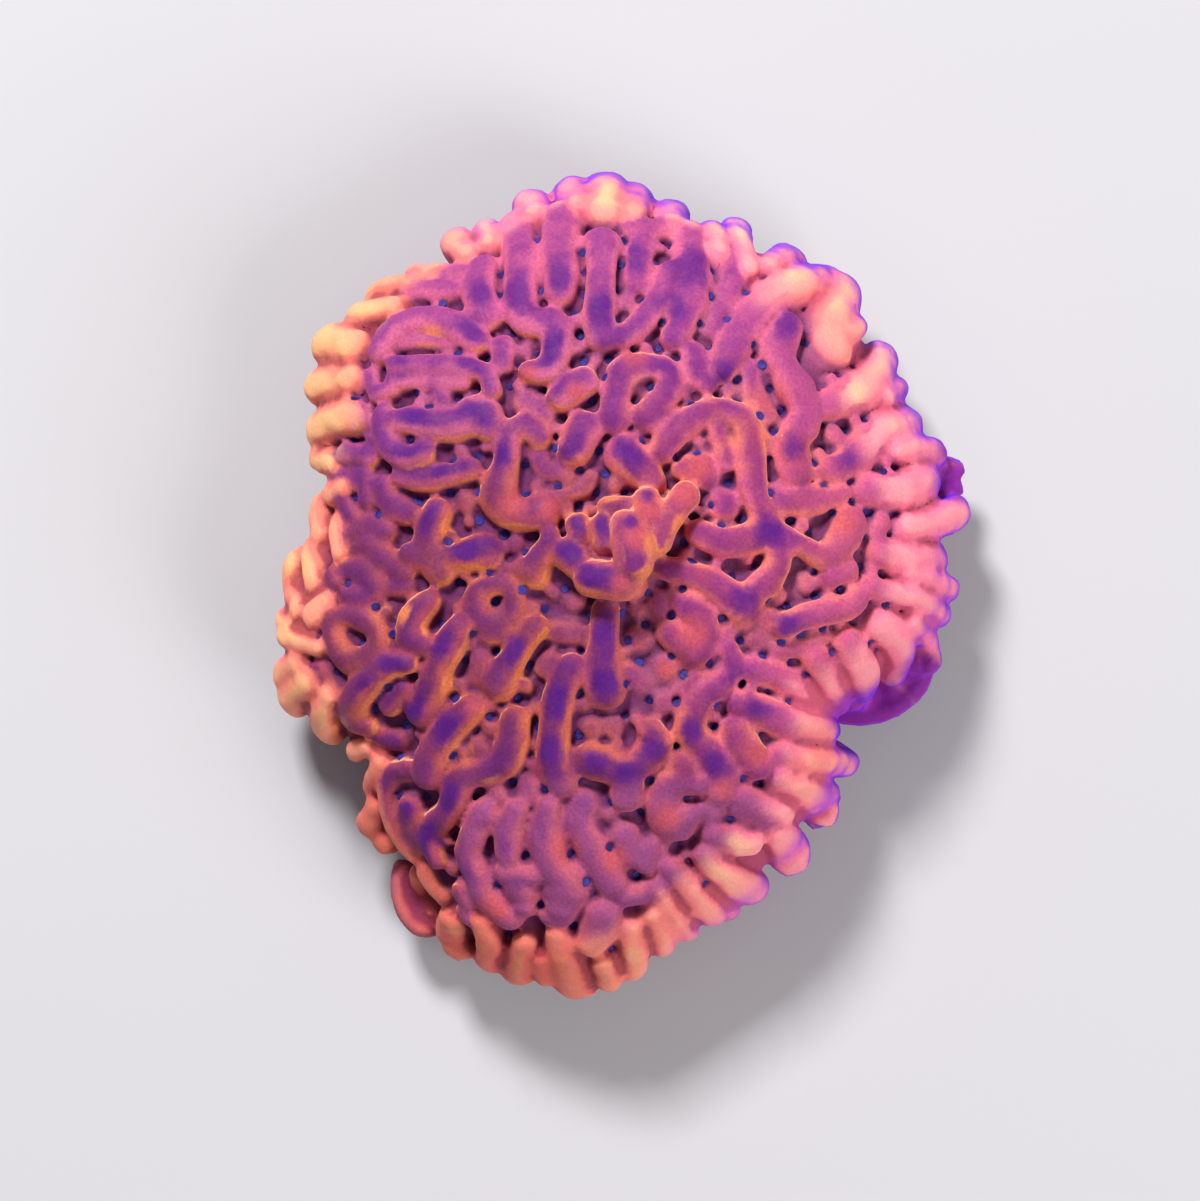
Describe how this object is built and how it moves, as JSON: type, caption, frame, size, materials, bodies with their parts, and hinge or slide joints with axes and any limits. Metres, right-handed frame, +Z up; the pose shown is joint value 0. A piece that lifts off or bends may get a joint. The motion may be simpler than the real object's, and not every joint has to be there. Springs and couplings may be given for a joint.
{
  "type": "coral colony",
  "caption": "Domed colony of montipora coral with winding ridges, polyps in the valleys between them and a lobed margin, cut off flat underneath to rest on.",
  "frame": {"origin": "middle of the footprint's box, on the flat cut the colony rests on", "axes": "+Z up out of the cut, +Y along the colony's longer width, +X to the right of it"},
  "size_m": [0.0701, 0.0832, 0.03],
  "materials": {
    "coral_tissue": "soft satin, finely papillate"
  },
  "bodies": {
    "root": {"coral_colony": "coral_tissue"}
  },
  "joints": []
}
